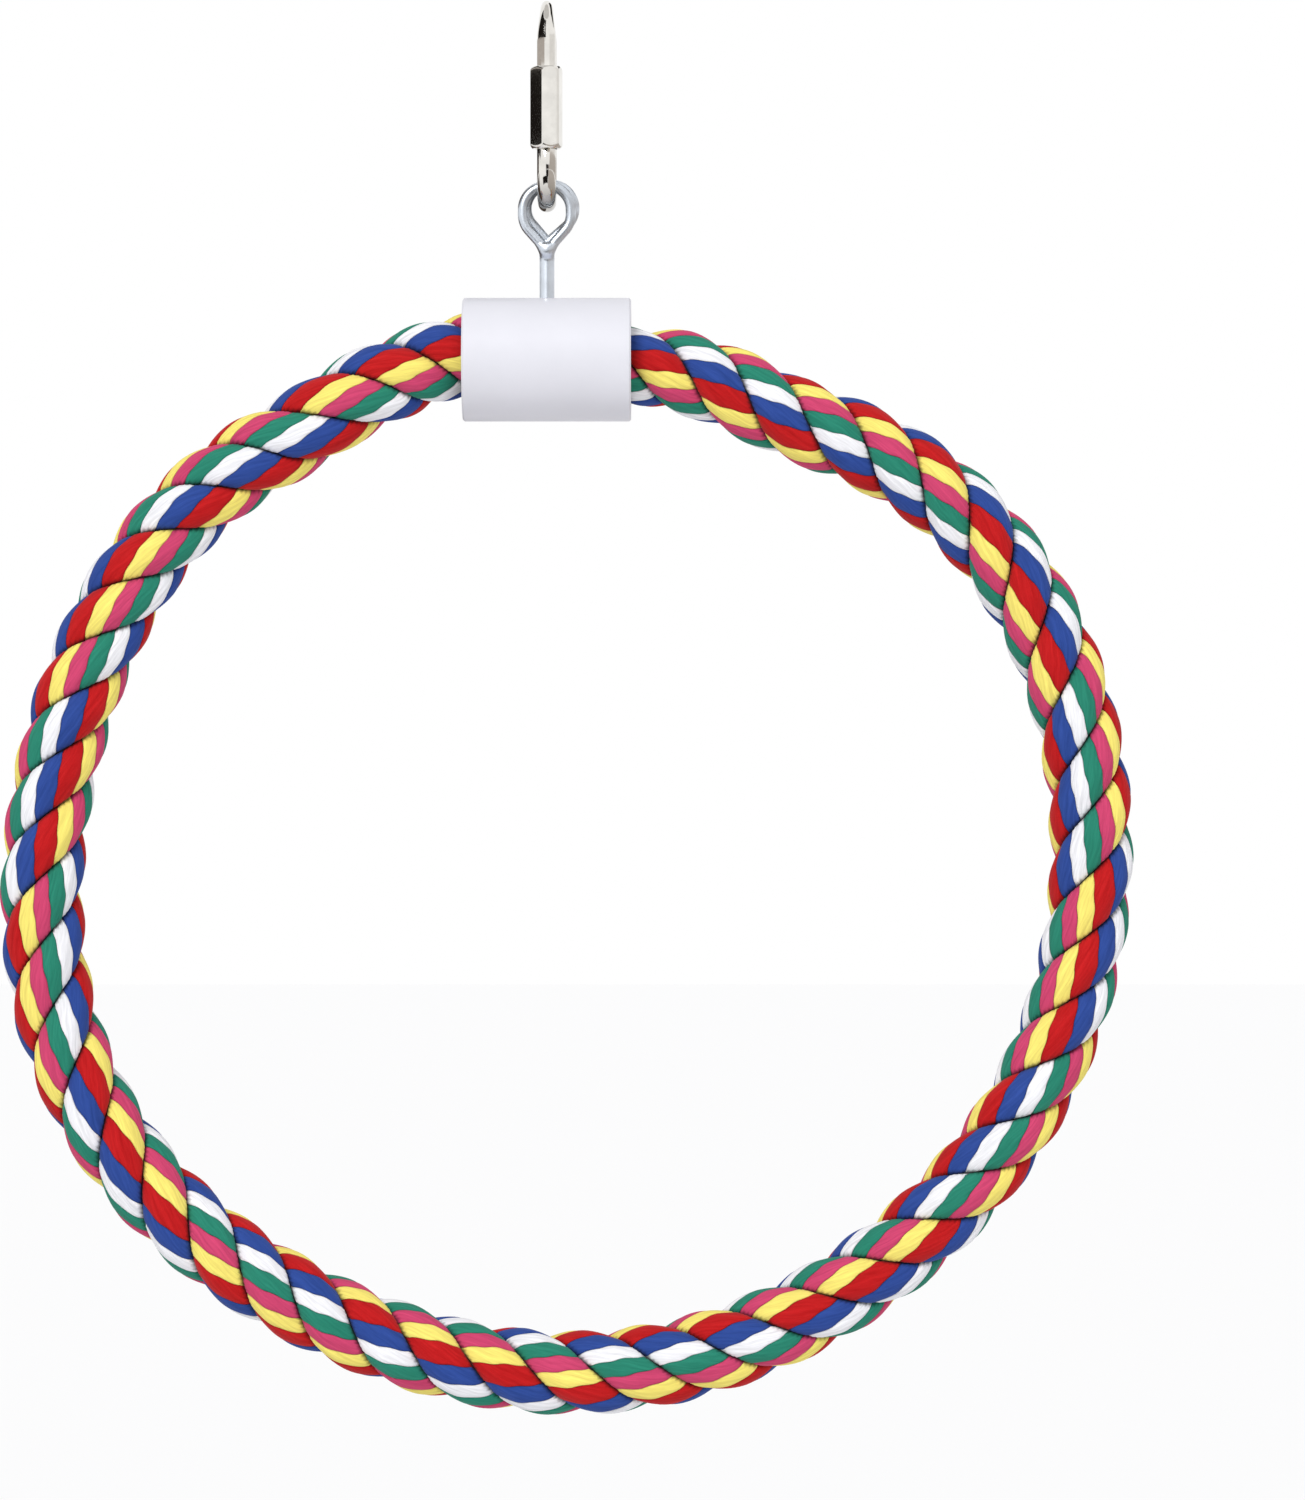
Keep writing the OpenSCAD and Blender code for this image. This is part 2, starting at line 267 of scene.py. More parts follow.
class Graph:
    """A material's nodes, with its Principled shader at hand."""

    def __init__(self, name):
        self.material = bpy.data.materials.new(name)
        self.material.use_nodes = True
        self.nodes = self.material.node_tree.nodes
        self.links = self.material.node_tree.links
        self.shader = self.nodes["Principled BSDF"]

    def set(self, **values):
        """Sets the shader's own sockets. An underscore stands for a space."""
        for name, value in values.items():
            self.shader.inputs[name.replace("_", " ")].default_value = value

    def node(self, kind, **values):
        """A new node, with each value at its input of that name, or else as its own setting.

        A value that is a socket is linked.
        """
        made = self.nodes.new("ShaderNode" + kind)
        for name, value in values.items():
            key = name.replace("_", " ")
            if key not in made.inputs:
                setattr(made, name, value)
            elif isinstance(value, bpy.types.NodeSocket):
                self.links.new(value, made.inputs[key])
            else:
                made.inputs[key].default_value = value
        return made

    def places(self):
        """The piece's own coordinates, in metres."""
        return self.node("TexCoord").outputs["Object"]

    def stretched(self, vector, scale):
        """Coordinates scaled along each axis."""
        return self.node("Mapping", Vector=vector, Scale=scale).outputs["Vector"]

    def noise(self, vector, scale=1.0, detail=3.0, roughness=0.5):
        """A cloudy value, mostly from NOISE_LOW to NOISE_HIGH."""
        return self.node(
            "TexNoise", Vector=vector, Scale=scale, Detail=detail, Roughness=roughness
        ).outputs["Fac"]

    def ranged(self, value, low, high):
        """A noise's usual range, mapped to low and high."""
        made = self.node("MapRange", Value=value)
        made.inputs["From Min"].default_value = NOISE_LOW
        made.inputs["From Max"].default_value = NOISE_HIGH
        made.inputs["To Min"].default_value = low
        made.inputs["To Max"].default_value = high
        return made.outputs["Result"]

    def blend(self, factor, first, second, how="MIX"):
        """Two colours, or a colour and a socket, blended by a factor."""
        made = self.nodes.new("ShaderNodeMix")
        made.data_type = "RGBA"
        made.blend_type = how
        for key, value in ((0, factor), (6, first), (7, second)):
            if isinstance(value, bpy.types.NodeSocket):
                self.links.new(value, made.inputs[key])
            else:
                made.inputs[key].default_value = value
        return made.outputs[2]

    def bump(self, height, depth, strength=1.0, below=None):
        """A bump of that depth in millimetres, on top of another normal."""
        made = self.node("Bump", Height=height, Strength=strength, Distance=depth * MM)
        if below is not None:
            self.links.new(below, made.inputs["Normal"])
        return made.outputs["Normal"]

    def link(self, socket, name):
        """Links a socket to one of the shader's own."""
        self.links.new(socket, self.shader.inputs[name])


def cotton(name, colour):
    """Dyed cotton yarn: fibres that run along it at a slant, with painted shade down in the
    creases and along the yarns' edges.
    """
    g = Graph(name)
    fibre = g.node("Attribute", attribute_name="fibre").outputs["Vector"]
    crease_shade = g.node("Attribute", attribute_name="crease_shade").outputs["Fac"]
    strands = g.noise(g.stretched(fibre, COTTON_FIBRE_SCALE), detail=5, roughness=0.62)
    fine = g.noise(g.stretched(fibre, COTTON_FINE_SCALE), detail=2, roughness=0.6)
    wear = g.noise(g.places(), scale=55, detail=2)
    base = linear(colour)
    deep = shaded(base, COTTON_DEEP_SHARE)
    pale = [min(1, c * COTTON_PALE_SHARE + COTTON_PALE_LIFT) for c in base[:3]] + [1]
    streaks = g.blend(g.ranged(strands, 0, 1), deep, pale)
    streaks = g.blend(g.ranged(fine, 0, COTTON_FINE_MIX), streaks, deep)
    wear_and_shade = g.blend(g.ranged(wear, 0, COTTON_WEAR_MIX), streaks, deep)
    # Painted shade: the colour darkens in the creases between strands and along the yarns' edges
    g.link(g.blend(crease_shade, wear_and_shade, shaded(base, COTTON_CREASE_SHADE_SHARE)), "Base Color")
    g.link(g.ranged(fine, *COTTON_ROUGHNESS), "Roughness")
    coarse = g.bump(strands, depth=0.2, strength=0.7)
    g.link(g.bump(fine, depth=0.06, strength=0.6, below=coarse), "Normal")
    g.set(Sheen_Weight=0.05, Sheen_Roughness=0.5, Specular_IOR_Level=0.16)
    return g.material


def plated(name, colour, roughness, wave, grain):
    """Bright plated steel: faint waves from bending, fine grain, and painted shade in its creases
    and hollows.

    The depths of its waves and of its grain are in millimetres.
    """
    g = Graph(name)
    at = g.places()
    bends = g.noise(at, scale=260, detail=2)
    specks = g.noise(at, scale=5200, detail=3)
    base = linear(colour)
    crease_shade = g.node("Attribute", attribute_name="crease_shade").outputs["Fac"]
    shade = g.blend(g.ranged(bends, 0, 1), shaded(base, PLATE_DULL_SHARE), base)
    # Painted shade: the colour darkens where the piece's creases and hollows are marked
    g.link(g.blend(crease_shade, shade, shaded(base, PLATE_CREASE_SHADE_SHARE)), "Base Color")
    g.link(g.ranged(specks, *(roughness * share for share in SATIN_SHARES)), "Roughness")
    wavy = g.bump(bends, depth=wave, strength=0.6)
    g.link(g.bump(specks, depth=grain, strength=0.5, below=wavy), "Normal")
    g.set(Metallic=1.0)
    return g.material


def moulded(name, colour, roughness):
    """Plain plastic with a satin skin: fine grain and slight unevenness."""
    g = Graph(name)
    at = g.places()
    cloud = g.noise(at, scale=70, detail=3)
    skin = g.noise(at, scale=2600, detail=3, roughness=0.6)
    base = linear(colour)
    shade = shaded(base, PLASTIC_CLOUD_SHARE)
    g.link(g.blend(g.ranged(cloud, 0, 1), shade, base), "Base Color")
    g.link(g.ranged(skin, *(roughness * share for share in SATIN_SHARES)), "Roughness")
    g.link(g.bump(skin, depth=PLASTIC_GRAIN, strength=0.4), "Normal")
    g.set(Specular_IOR_Level=0.25)
    return g.material


def drawn_wire(name, colour, roughness):
    """Steel with fine lines along X and round it, as drawing and crimping leave them."""
    g = Graph(name)
    lines = g.noise(g.stretched(g.places(), WIRE_LINE_SCALE), detail=3)
    blotches = g.noise(g.places(), scale=400, detail=3)
    base = linear(colour)
    dull = shaded(base, WIRE_DULL_SHARE)
    g.link(g.blend(g.ranged(blotches, 0, 1), dull, base), "Base Color")
    g.link(g.ranged(lines, *(roughness * share for share in WIRE_SHARES)), "Roughness")
    g.link(g.bump(lines, depth=0.01, strength=0.6), "Normal")
    g.set(Metallic=1.0)
    return g.material


def cloth_tape(name, colour):
    """Woven tape, wound round the rope's ends."""
    g = Graph(name)
    around, across = (
        g.node(
            "TexWave",
            Vector=g.places(),
            Scale=TAPE_WEAVE_SCALE,
            Distortion=TAPE_WEAVE_BEND,
            bands_direction=axis,
        ).outputs["Color"]
        for axis in ("X", "Z")
    )
    weave = g.blend(0.5, around, across, "MULTIPLY")
    base = linear(colour)
    g.link(g.blend(weave, shaded(base, TAPE_DEEP_SHARE), base), "Base Color")
    g.link(g.bump(weave, depth=0.08, strength=0.6), "Normal")
    g.set(Roughness=0.85, Specular_IOR_Level=0.2)
    return g.material


nickel = plated("nickel_plate", (240, 237, 231), 0.09, wave=0.012, grain=0.0006)
zinc = plated("zinc_plate", (222, 229, 238), 0.33, wave=0.015, grain=0.001)
collar_plastic = moulded("collar_plastic", (214, 214, 220), 0.42)
nylon = moulded("nylon", (52, 92, 176), 0.4)
steel = drawn_wire("core_steel", (186, 186, 190), 0.3)
tape = cloth_tape("cloth_tape", (226, 222, 208))
yarn_materials = {name: cotton(f"cotton_{name}", rgb) for name, rgb in YARN_COLOURS.items()}


def make_piece(name, points, faces, material, body, sharp=50):
    """A smooth mesh piece from points in millimetres, riding on a body.

    Where its faces meet at more than sharp degrees, the edge stays sharp.
    """
    mesh = bpy.data.meshes.new(name)
    mesh.from_pydata((np.asarray(points) * MM).tolist(), [], faces)
    mesh.validate()
    mesh.shade_smooth()
    mesh.set_sharp_from_angle(angle=math.radians(sharp))
    mesh.materials.append(material)
    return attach(add_object(name, mesh), body)


def paint(piece, name, shares):
    """Gives each point of a piece a share from 0 to 1, which its material reads by name."""
    attribute = piece.data.attributes.new(name, "FLOAT", "POINT")
    attribute.data.foreach_set("value", np.asarray(shares, np.float32).ravel())


def tube_faces(rings, sides, closed=False):
    """Faces of a tube of rings of points, with a flat cap at each end unless it is closed."""
    row = np.arange(sides)
    start = np.arange(rings if closed else rings - 1)[:, None] * sides
    after = (start + sides) % (rings * sides)
    turn = (row + 1) % sides
    quads = np.stack([start + row, start + turn, after + turn, after + row], -1)
    faces = quads.reshape(-1, 4).tolist()
    if not closed:
        faces.append(row[::-1].tolist())
        faces.append((row + (rings - 1) * sides).tolist())
    return faces


def ease(t):
    """From 0 to 1 as t goes from 0 to 1, level at both ends."""
    u = np.clip(t, 0, 1)
    return u * u * (3 - 2 * u)


def waves(cos_parts, sin_parts, a):
    """Sum of one, two and more waves round the ring at angle a."""
    turn = np.radians(a)
    level = sum(c * np.cos(k * turn) for k, c in enumerate(cos_parts, 1))
    return level + sum(s * np.sin(k * turn) for k, s in enumerate(sin_parts, 1))


def bow_r(a):
    """Radius of the rope's centre line at angle a."""
    return RING_R * (1 + BOW_MEAN_SHARE + waves(BOW_COS_SHARES, BOW_SIN_SHARES, a))


def centre_point(a):
    """x and z of the rope's centre line at angle a: level as far as the end wraps reach."""
    r, turn = bow_r(a), np.radians(a)
    x, z = RING_SIDE + r * np.sin(turn), ring_z + r * np.cos(turn)
    share = np.where(np.cos(turn) > 0, ease((np.abs(x) - LEVEL_HALF) / ROPE_EASE_L), 1)
    return np.stack([x, collar_z + share * (z - collar_z)], -1)


def centre_tangent(a):
    """Direction of the rope's centre line at angle a."""
    step = centre_point(a + TANGENT_STEP) - centre_point(a - TANGENT_STEP)
    return step / np.linalg.norm(step, axis=-1, keepdims=True)


def rope_point(a, r, p):
    """Point at distance r from the rope's centre, turned by p from outward to the front.

    Near the collar's mouths the rope's outside is moved, but its heart isn't.
    """
    c, t = centre_point(a), centre_tangent(a)
    near_top = np.cos(np.radians(a)) > 0
    right = c[..., 0] > 0
    end = np.where(right, MOUTH_DROP_END_X, MOUTH_LIFT_END_X)
    x = np.where(near_top, np.abs(c[..., 0]), MOUTH_DROP_END_X)
    outer = np.clip((r - CORE_CLEAR) / (YARN_HUB_X - CORE_CLEAR), 0, 1)
    mouth = collar_l / 2
    thin = 1 - ease((x - mouth) / (MOUTH_THIN_END_X - mouth))
    r = r * (1 - MOUTH_THIN_SHARE * outer * thin * right)
    moved = ease((x - MOUTH_START_X) / (mouth - MOUTH_START_X))
    moved = moved * (1 - ease((x - mouth) / (end - mouth)))
    out, front = r * np.cos(np.radians(p)), r * np.sin(np.radians(p))
    z = c[..., 1] + out * t[..., 0] + np.where(right, -MOUTH_DROP, MOUTH_LIFT) * outer * moved
    return np.stack([c[..., 0] - out * t[..., 1], -front, z], -1)


def top_angle(x):
    """Angle at which the centre line passes x, near the top."""
    return math.degrees(math.asin((x - RING_SIDE) / bow_r(0)))


def lay_drift(a):
    """Shift of the lay at angle a from an even one, as an angle round the ring."""
    return CREST_DRIFT * waves(DRIFT_COS_SHARES, DRIFT_SIN_SHARES, a)


def lay_turns(a):
    """Turns of the lay from the first crest to angle a."""
    past = a - FIRST_CREST + lay_drift(a) - lay_drift(FIRST_CREST)
    past = past + MOUTH_LAY * ease((a - MOUTH_LAY_FROM) / (MOUTH_LAY_TO - MOUTH_LAY_FROM))
    return past / (STRANDS * CREST_STEP)


def lobe_reach(g):
    """Distance from a strand's hub to its surface, in direction g from outward, and how far
    the surface has turned into the creases between strands, from 0 to 1, which sets its painted
    shade."""
    turn = np.radians(g)
    cos, sin, half = np.cos(turn), np.abs(np.sin(turn)), math.radians(SECTOR / 2)
    off = YARN_HUB_X - LOBE_X
    lobe = -off * cos + np.sqrt(LOBE_R**2 - (off * np.sin(turn)) ** 2)
    away = np.maximum(sin * math.cos(half) - cos * math.sin(half), 1e-6)
    wall = (YARN_HUB_X * math.sin(half) - STRAND_GAP / 2) / away
    core = (YARN_HUB_X - CORE_CLEAR) / np.maximum(-cos, 1e-6)
    parts = np.stack([lobe, wall, core])
    reach = (parts**-CORNER_POWER).sum(0) ** (-1 / CORNER_POWER)
    return reach, ease((CREASE_FROM_SHARE - reach / lobe) / (CREASE_FROM_SHARE - CREASE_TO_SHARE))


# Phase of the yarns for each direction from the strand's hub, in a section square to the
# rope: the strand leans across it, so the phases crowd together on its outer side
lean_table = np.linspace(-180, 180, LEAN_STEPS + 1)
phase_table = lean_table + sum(
    math.degrees(share) * np.sin(k * np.radians(lean_table))
    for k, share in enumerate(YARN_LEAN_SHARES, 1)
)


def yarn_direction(phase):
    """Direction from the strand's hub at which a phase of its yarns lies."""
    return np.interp((phase + 180) % 360 - 180, phase_table, lean_table)


def yarn_section(a, strand, yarn, share):
    """Points across a yarn's outer side at angles a, for shares from 0 to 1 of its width."""
    turns = lay_turns(a)[:, None]
    step = 360 / len(YARNS)
    start = YARN_STARTS[strand] + waves(YARN_START_COS[strand], YARN_START_SIN[strand], a)
    past = sum(YARN_WIDTH_SHARES[:yarn]) + YARN_WIDTH_SHARES[yarn] * share - 0.5
    phase = start[:, None] + step * past - 360 * YARN_TURNS * turns
    g = yarn_direction(phase)
    from_middle = np.abs(2 * share - 1)
    reach, crease_shade = lobe_reach(g)
    reach = reach - YARN_GROOVE * from_middle**YARN_GROOVE_POWER
    # Painted shade: a thin dark line along each yarn's edges
    crease_shade = np.maximum(crease_shade, EDGE_SHADE_SHARE * from_middle**EDGE_POWER)
    u = YARN_HUB_X + reach * np.cos(np.radians(g))
    v = reach * np.sin(np.radians(g))
    around = 360 * turns - SECTOR * strand + np.degrees(np.arctan2(v, u))
    points = rope_point(np.broadcast_to(a[:, None], u.shape), np.hypot(u, v), around)
    return points, g, crease_shade


def make_yarn(strand, yarn, a):
    """One yarn of a strand, as a closed solid from its round outer side to the hub."""
    column = 0.5 - 0.5 * np.cos(np.linspace(0, np.pi, YARN_COLUMNS + 1))
    share = YARN_GAP_SHARE + (1 - 2 * YARN_GAP_SHARE) * column
    outer, g, crease_shade = yarn_section(a, strand, yarn, share[None, :])
    middle = np.radians(g[:, YARN_COLUMNS // 2])
    u, v = YARN_HUB_X + YARN_GROOVE * np.cos(middle), YARN_GROOVE * np.sin(middle)
    around = 360 * lay_turns(a) - SECTOR * strand + np.degrees(np.arctan2(v, u))
    hub = rope_point(a, np.hypot(u, v), around)[:, None, :]
    rings = np.concatenate([outer, hub], 1)
    colour = YARNS[yarn]
    piece = make_piece(
        f"strand_{strand + 1}_{colour}_yarn",
        rings.reshape(-1, 3),
        tube_faces(len(a), rings.shape[1]),
        yarn_materials[colour],
        "ring",
    )
    along = np.radians(a)[:, None] * RING_R + np.zeros(rings.shape[1])
    across = np.append(share, 0.5)[None, :] * YARN_W + np.zeros((len(a), 1))
    slant = math.radians(FIBRE_SLANT)
    fibre = np.stack([
        along * math.cos(slant) + across * math.sin(slant),
        across * math.cos(slant) - along * math.sin(slant),
        np.full(along.shape, FIBRE_SHIFT * (yarn + len(YARNS) * strand)),
    ], -1)
    attribute = piece.data.attributes.new("fibre", "FLOAT_VECTOR", "POINT")
    attribute.data.foreach_set("vector", fibre.astype(np.float32).ravel())
    # Painted shade: each point's share of it, full at the hidden hub
    paint(piece, "crease_shade", np.concatenate([crease_shade, np.ones((len(a), 1))], 1))
    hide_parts(f"rope_strand_{strand + 1}")
    return piece


def make_rope():
    """Strands of yarns, from one cut end in the collar all round to the other."""
    first, last = top_angle(ROPE_END_X), 360 + top_angle(-ROPE_END_X)
    steps = round(math.radians(last - first) * RING_R / RING_PITCH)
    for strand in range(STRANDS):
        for yarn in range(len(YARNS)):
            make_yarn(strand, yarn, np.linspace(first, last, steps + 1))


# The link's bar, its bends and the gap between its threaded ends
link_r = link_high.x
link_bend_r = link_high.y - link_r
link_top_z = link_high.z - link_r - link_bend_r
link_low_z = link_low.z + link_r + link_bend_r
gap_low_z = nut_low.z + LINK_GRIP
gap_top_z = gap_low_z + LINK_GAP


def link_route():
    """Middle of the link's bar as y and z, from above the gap, over the top and round."""
    rise = np.arange(gap_top_z, nut_high.z, THREAD_ROW)
    turn = np.linspace(0, np.pi, BEND_STEPS + 1)
    fall = np.arange(gap_low_z - THREAD_LOW_L, gap_low_z, THREAD_ROW)
    y, z = link_bend_r * np.cos(turn), link_bend_r * np.sin(turn)
    return np.concatenate([
        np.stack([np.full(len(rise), -link_bend_r), rise], -1),
        np.stack([-y, link_top_z + z], -1),
        np.stack([y, link_low_z - z], -1),
        np.stack([np.full(len(fall), -link_bend_r), fall], -1),
        [[-link_bend_r, gap_low_z]],
    ])


def make_link():
    """The link's bar with its two threads, swept along its route."""
    route = link_route()
    along = np.gradient(route, axis=0)
    along /= np.linalg.norm(along, axis=1, keepdims=True)
    out = np.stack([-along[:, 1], along[:, 0]], -1)
    turn = np.linspace(0, 2 * np.pi, LINK_SIDES, endpoint=False)[None, :]
    y, z = route[:, :1], route[:, 1:]
    front = y < 0
    lower = front & (z > gap_low_z - THREAD_LOW_L) & (z < gap_low_z + LINK_GAP / 2)
    upper = front & (z >= gap_low_z + LINK_GAP / 2) & (z < nut_high.z - THREAD_TOP_DROP)
    from_end = np.where(upper, z - gap_top_z, gap_low_z - z)
    ridge = 0.5 + 0.5 * np.cos(2 * np.pi * z / THREAD_PITCH - turn)
    cut = np.where(upper | lower, THREAD_DEPTH * ridge, 0)
    cut = cut + np.where(upper | lower, np.clip(LINK_END_CHAMFER - from_end, 0, None), 0)
    narrow = 1 - TOP_NARROW_SHARE * ease((z - link_top_z) / link_bend_r) * np.ones_like(turn)
    r = link_r - cut
    side = r * np.cos(turn)
    points = np.stack([
        r * np.sin(turn) * narrow,
        y + side * out[:, :1],
        z + side * out[:, 1:],
    ], -1)
    piece = make_piece(
        "link_bar", points.reshape(-1, 3), tube_faces(len(route), LINK_SIDES), nickel, "link"
    )
    # Painted shade round the lower bend, where the eye hangs in it
    wear_and_shade = ease((link_low_z - BEND_SHADE_DROP - points[..., 2]) / BEND_SHADE_L)
    paint(piece, "crease_shade", BEND_SHADE_SHARE * wear_and_shade)
    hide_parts("quick_link")
    return piece


def hexagon_reach(turn):
    """Distance from the nut's axis to its crowned flats, in direction turn from the front."""
    back = NUT_CROWN_R - NUT_AF / 2
    total = 0
    for flat in range(6):
        off = turn - math.radians(NUT_TURN + 60 * flat)
        reach = -back * np.cos(off) + np.sqrt(NUT_CROWN_R**2 - (back * np.sin(off)) ** 2)
        total = total + np.where(np.cos(off) > 0, reach**-NUT_EDGE_POWER, 0)
    return total ** (-1 / NUT_EDGE_POWER)


def make_nut():
    """The long nut, with chamfered rims and a plain bore."""
    low, high = nut_low.z, nut_high.z
    corner_r = NUT_AF / 2 / math.cos(math.pi / 6)
    bore_r = link_r + NUT_BORE_GAP
    rim = np.arange(0, NUT_RIM_L, NUT_ROW)
    height = np.concatenate([low + rim, high - rim[::-1]])[:, None]
    turn = np.linspace(0, 2 * np.pi, NUT_SIDES, endpoint=False)[None, :]
    from_end = np.minimum(height - low, high - height)
    cone = corner_r - NUT_CHAMFER + from_end + np.zeros_like(turn)
    flats = hexagon_reach(turn) + np.zeros_like(height)
    outer = (cone**-NUT_EDGE_POWER + flats**-NUT_EDGE_POWER) ** (-1 / NUT_EDGE_POWER)
    inner_z = np.array([high, high - NUT_CHAMFER / 2, low + NUT_CHAMFER / 2, low])[:, None]
    inner = bore_r + np.array([NUT_CHAMFER / 2, 0, 0, NUT_CHAMFER / 2])[:, None]
    r = np.concatenate([outer, inner + np.zeros_like(turn)])
    z = np.concatenate([height, inner_z]) + np.zeros_like(turn)
    points = np.stack([r * np.sin(turn), -link_bend_r - r * np.cos(turn), z], -1)
    piece = make_piece(
        "long_nut",
        points.reshape(-1, 3),
        tube_faces(len(r), NUT_SIDES, closed=True),
        nickel,
        "nut",
        sharp=40,
    )
    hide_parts("link_nut")
    return piece


# The bolt's neck and lower end, and each turn of its eye: centre, foot and depth
eye_seat_r = link_bend_r - link_r - EYE_WIRE_R - EYE_SEAT_GAP
neck_z = link_low_z - math.sqrt(eye_seat_r**2 - EYE_TURN_Y**2) - EYE_R - EYE_NECK_DROP
bolt_end_z = bolt_low.z
eye_turns = [
    ((0, neck_z + EYE_NECK_DROP), EYE_STRETCH, (0, neck_z - FRONT_FOOT_DROP), -EYE_TURN_Y),
    (
        (EYE_STEP[0], neck_z + EYE_NECK_DROP + EYE_STEP[1]),
        0,
        (REAR_FOOT[0], neck_z + REAR_FOOT[1]),
        EYE_TURN_Y,
    ),
]


def knees(centre, stretch, foot):
    """Angles from the top, about a turn's lower centre, at which it meets its two legs."""
    across, up = centre[0] - foot[0], centre[1] - stretch - foot[1]
    lean, half = math.atan2(across, up), math.acos(EYE_R / math.hypot(across, up))
    return math.pi + lean + half, 3 * math.pi + lean - half


def turn_points(centre, stretch, angles):
    """Points of a turn at angles from the top: its lower half lies lower by the stretch."""
    z = centre[1] + EYE_R * np.cos(angles) - stretch * (np.cos(angles) < 0)
    return np.stack([centre[0] + EYE_R * np.sin(angles), z], -1)


def eye_route(centre, stretch, foot):
    """Middle of one turn's wire as x and z, from its foot, round and back to it."""
    ring = turn_points(centre, stretch, np.linspace(*knees(centre, stretch, foot), EYE_STEPS))
    rise = np.linspace(foot, ring[0], LEG_STEPS)[:-1]
    fall = np.linspace(ring[-1], foot, LEG_STEPS)[1:]
    return np.concatenate([rise, ring, fall])


def flat_tube(route, y, r):
    """Points of a tube along a route in the plane of X and Z, at depth y."""
    along = np.gradient(route, axis=0)
    along /= np.linalg.norm(along, axis=1, keepdims=True)
    turn = np.linspace(0, 2 * np.pi, EYE_ROUGH_SIDES, endpoint=False)[None, :]
    side = r * np.cos(turn)
    return np.stack([
        route[:, :1] + side * along[:, 1:],
        y + r * np.sin(turn) + np.zeros_like(side * along[:, 1:]),
        route[:, 1:] - side * along[:, :1],
    ], -1).reshape(-1, 3)


def bar_distance(p, start, end):
    """Distance of points from a straight stretch."""
    way = np.subtract(end, start)
    share = np.clip((p - start) @ way / (way @ way), 0, 1)
    return np.linalg.norm(p - start - share[:, None] * way, axis=1)


def melted(first, second, soft):
    """Lesser of two distances, rounded where they are nearly alike."""
    near = np.clip(soft - np.abs(first - second), 0, None) / soft
    return np.minimum(first, second) - near**2 * soft / 4


def softness(p):
    """How far pieces melt together at each point."""
    share = ease((SOFT_OVER_L - p[:, 2] + neck_z) / SOFT_OVER_L)
    return SOFT_TOP + (SOFT_NECK - SOFT_TOP) * share


def turn_distance(p, centre, stretch, foot, y):
    """Distance of points from the wire of one turn, its two legs and its tail in the shank."""
    start, stop = knees(centre, stretch, foot)
    low = (foot[0], y, foot[1])
    ends = turn_points(centre, stretch, np.array([start, stop]))
    first, last = (bar_distance(p, (x, y, z), low) for x, z in ends)
    legs = melted(first, last, LEG_SOFT_SHARE * softness(p))
    legs = np.minimum(legs, bar_distance(p, low, (0, 0, neck_z - TAIL_DROP)))
    across, up = p[:, 0] - centre[0], p[:, 2] - centre[1]
    ring = np.hypot(np.hypot(across, up - np.clip(up, -stretch, 0)) - EYE_R, p[:, 1] - y)
    on_ring = (np.arctan2(across, up + stretch) - start) % (2 * np.pi) < stop - start
    return np.minimum(legs, np.where(on_ring, ring, np.inf)) - EYE_WIRE_R


def bolt_parts(p):
    """Distances of points from the shank and from each turn of the eye."""
    shank = np.maximum(np.hypot(p[:, 0], p[:, 1]) - SHANK_R, p[:, 2] - neck_z)
    shank = np.maximum(shank, bolt_end_z - p[:, 2])
    return [shank] + [turn_distance(p, *turn) for turn in eye_turns]


def bolt_distance(p):
    """Signed distance of points from the bolt's surface."""
    total, *others = bolt_parts(p)
    for other in others:
        total = melted(total, other, softness(p))
    return total


def bolt_crease_shade(p):
    """How much painted shade each point gets, from 0 to 1, by how deep it lies in the creases
    between two turns.
    """
    nearest = np.sort(bolt_parts(p), axis=0)
    share = np.clip(1 - (nearest[1] - nearest[0]) / CREASE_SHADE_W, 0, 1)
    return ease(share) * ease((p[:, 2] - neck_z) / CREASE_SHADE_FADE_L)


def settled(p):
    """Points moved onto the bolt's surface."""
    for _ in range(SETTLE_STEPS):
        slope = np.stack([
            bolt_distance(p + SLOPE_REACH * axis) - bolt_distance(p - SLOPE_REACH * axis)
            for axis in np.eye(3)
        ], -1) / (2 * SLOPE_REACH)
        slope /= np.clip(np.linalg.norm(slope, axis=1, keepdims=True), LEAST_SLOPE, None)
        p = p - np.clip(bolt_distance(p), -LONGEST_MOVE, LONGEST_MOVE)[:, None] * slope
    return p


def relaxed(p, edges):
    """Points moved half way to the middle of their neighbours."""
    total, count = np.zeros_like(p), np.zeros(len(p))
    for i, j in ((0, 1), (1, 0)):
        np.add.at(total, edges[:, i], p[edges[:, j]])
        np.add.at(count, edges[:, i], 1)
    return (p + total / count[:, None]) / 2


def rough_bolt():
    """Mesh of the bolt from thin tubes, remeshed to one skin, in millimetres."""
    shank = np.stack([np.zeros(EYE_STEPS), np.linspace(neck_z, bolt_end_z, EYE_STEPS)], -1)
    thin = EYE_WIRE_R * EYE_ROUGH_SHARE
    tubes = [(eye_route(*turn), y, thin) for *turn, y in eye_turns]
    tubes.append((shank, 0, SHANK_R * EYE_ROUGH_SHARE))
    points, faces = [], []
    for route, y, r in tubes:
        start = sum(len(part) for part in points)
        points.append(flat_tube(route, y, r))
        faces += [[start + i for i in face] for face in tube_faces(len(route), EYE_ROUGH_SIDES)]
    mesh = bpy.data.meshes.new("rough_bolt")
    mesh.from_pydata(np.concatenate(points).tolist(), [], faces)
    rough = add_object("rough_bolt", mesh)
    remesh = rough.modifiers.new("skin", "REMESH")
    remesh.mode = "VOXEL"
    remesh.voxel_size = EYE_VOXEL
    skin = bpy.data.meshes.new_from_object(
        rough.evaluated_get(bpy.context.evaluated_depsgraph_get())
    )
    bpy.data.objects.remove(rough)
    return skin


